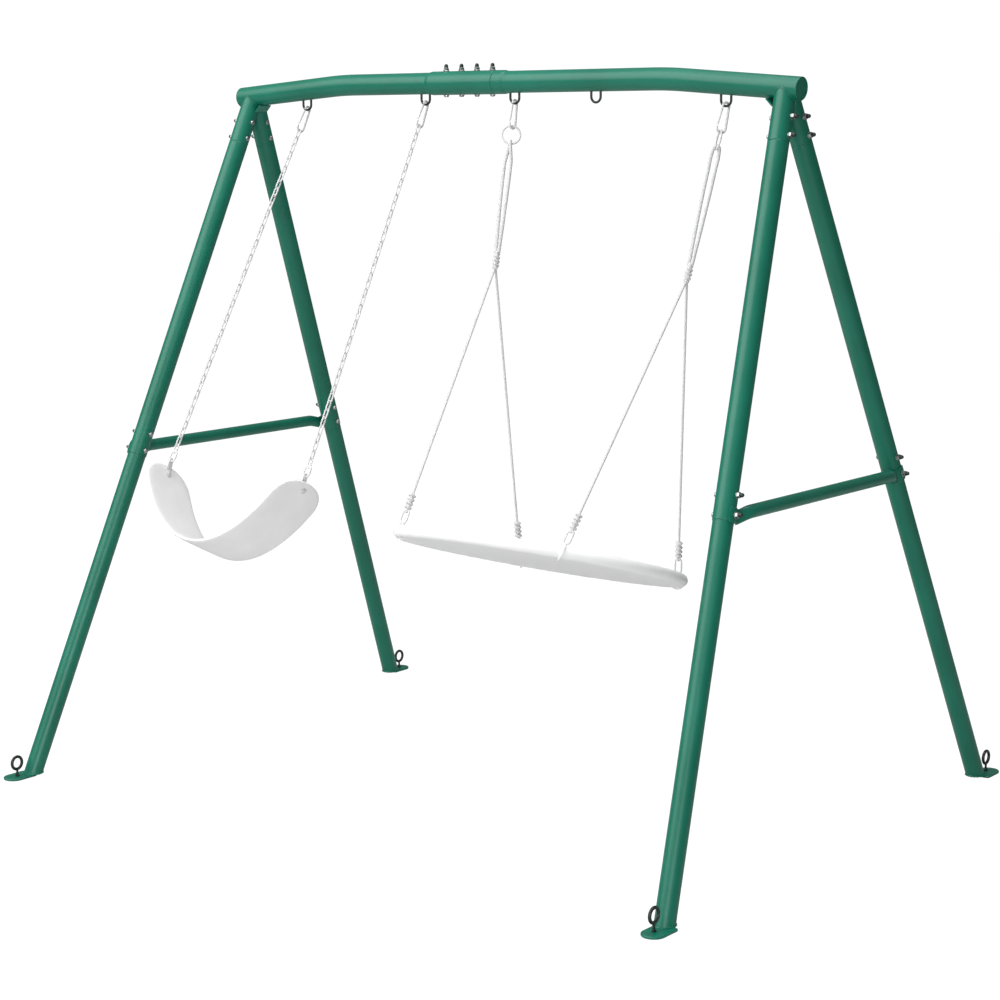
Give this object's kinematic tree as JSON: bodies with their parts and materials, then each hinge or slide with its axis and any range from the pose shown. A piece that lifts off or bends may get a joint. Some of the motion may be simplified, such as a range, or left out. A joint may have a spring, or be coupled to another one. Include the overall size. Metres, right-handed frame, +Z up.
{
  "type": "swing set",
  "caption": "Steel A-frame swing set with a belt swing on chains and a round saucer swing on ropes, both shown swung forward.",
  "frame": {"origin": "centre of the footprint, on the ground", "axes": "+X along the top beam, towards the saucer swing; -Y towards the side both swings have swung out to; +Z up"},
  "size_m": [2.084, 1.63, 1.8482],
  "materials": {
    "green_paint": "green powder coat, satin",
    "black_paint": "near-black green paint, satin",
    "zinc": "bright zinc plating",
    "pale_steel": "pale zinc plating",
    "pale_rubber": "smooth pale grey",
    "white_fabric": "white woven polyester",
    "white_rope": "white braided polyester rope"
  },
  "bodies": {
    "frame": {"beam_bolt_1": "zinc", "beam_bolt_2": "zinc", "beam_bolt_3": "zinc", "beam_bolt_4": "zinc", "beam_hook_1": "black_paint", "beam_hook_2": "black_paint", "beam_hook_3": "black_paint", "beam_hook_4": "black_paint", "beam_hook_5": "black_paint", "beam_left": "green_paint", "beam_right": "green_paint", "bolt_mid_a_left_back": "zinc", "bolt_mid_a_left_front": "zinc", "bolt_mid_a_right_back": "zinc", "bolt_mid_a_right_front": "zinc", "bolt_mid_b_left_back": "zinc", "bolt_mid_b_left_front": "zinc", "bolt_mid_b_right_back": "zinc", "bolt_mid_b_right_front": "zinc", "bolt_socket_a_left_back": "zinc", "bolt_socket_a_left_front": "zinc", "bolt_socket_a_right_back": "zinc", "bolt_socket_a_right_front": "zinc", "bolt_socket_b_left_back": "zinc", "bolt_socket_b_left_front": "zinc", "bolt_socket_b_right_back": "zinc", "bolt_socket_b_right_front": "zinc", "brace_left": "green_paint", "brace_right": "green_paint", "ground_anchor_left_back": "black_paint", "ground_anchor_left_front": "black_paint", "ground_anchor_right_back": "black_paint", "ground_anchor_right_front": "black_paint", "lower_leg_left_back": "green_paint", "lower_leg_left_front": "green_paint", "lower_leg_right_back": "green_paint", "lower_leg_right_front": "green_paint", "upper_leg_left_back": "green_paint", "upper_leg_left_front": "green_paint", "upper_leg_right_back": "green_paint", "upper_leg_right_front": "green_paint"},
    "belt_swing": {"belt_chain_left": "pale_steel", "belt_chain_right": "pale_steel", "belt_snap_hook_left": "pale_steel", "belt_snap_hook_right": "pale_steel"},
    "belt_seat": {"belt_seat": "pale_rubber", "seat_hanger_left": "pale_steel", "seat_hanger_right": "pale_steel"},
    "saucer_swing": {"saucer_mat": "white_fabric", "saucer_o_ring_left": "pale_steel", "saucer_o_ring_right": "pale_steel", "saucer_ring": "white_fabric", "saucer_rope_left": "white_rope", "saucer_rope_right": "white_rope", "saucer_snap_hook_left": "pale_steel", "saucer_snap_hook_right": "pale_steel"},
    "belt_snap_gate_left": {"belt_snap_gate_left": "pale_steel"},
    "belt_snap_gate_right": {"belt_snap_gate_right": "pale_steel"},
    "saucer_snap_gate_left": {"saucer_snap_gate_left": "pale_steel"},
    "saucer_snap_gate_right": {"saucer_snap_gate_right": "pale_steel"}
  },
  "joints": [
    {"name": "belt_swing_hinge", "type": "hinge", "parent": "frame", "child": "belt_swing", "pos_m": [-0.439, 0, 1.74146], "axis": [0.9997, 0, 0.0245], "range_deg": [-20, 80]},
    {"name": "belt_seat_pitch", "type": "hinge", "parent": "belt_swing", "child": "belt_seat", "pos_m": [-0.439, -0.51561, 0.84115], "axis": [1, 0, 0], "range_deg": [-40, 40]},
    {"name": "saucer_swing_hinge", "type": "hinge", "parent": "frame", "child": "saucer_swing", "pos_m": [0.3675, 0, 1.74013], "axis": [0.9998, 0, -0.0205], "range_deg": [-33, 66]},
    {"name": "belt_snap_gate_left_hinge", "type": "hinge", "parent": "belt_swing", "child": "belt_snap_gate_left", "pos_m": [-0.64627, -0.03385, 1.70169], "axis": [-0.9996, 0.0135, 0.0235], "range_deg": [0, 12], "stiffness_Nm_per_rad": 0.02, "springref_deg": -11.46},
    {"name": "belt_snap_gate_right_hinge", "type": "hinge", "parent": "belt_swing", "child": "belt_snap_gate_right", "pos_m": [-0.23174, -0.03368, 1.71161], "axis": [-0.9996, -0.0133, -0.0233], "range_deg": [0, 12], "stiffness_Nm_per_rad": 0.02, "springref_deg": -11.46},
    {"name": "saucer_snap_gate_left_hinge", "type": "hinge", "parent": "saucer_swing", "child": "saucer_snap_gate_left", "pos_m": [0.05907, -0.02487, 1.70496], "axis": [-0.9979, -0.0186, -0.0626], "range_deg": [0, 12], "stiffness_Nm_per_rad": 0.02, "springref_deg": -11.46},
    {"name": "saucer_snap_gate_right_hinge", "type": "hinge", "parent": "saucer_swing", "child": "saucer_snap_gate_right", "pos_m": [0.67065, -0.02374, 1.69228], "axis": [-0.8968, 0.4369, -0.0695], "range_deg": [0, 12], "stiffness_Nm_per_rad": 0.02, "springref_deg": -11.46}
  ]
}
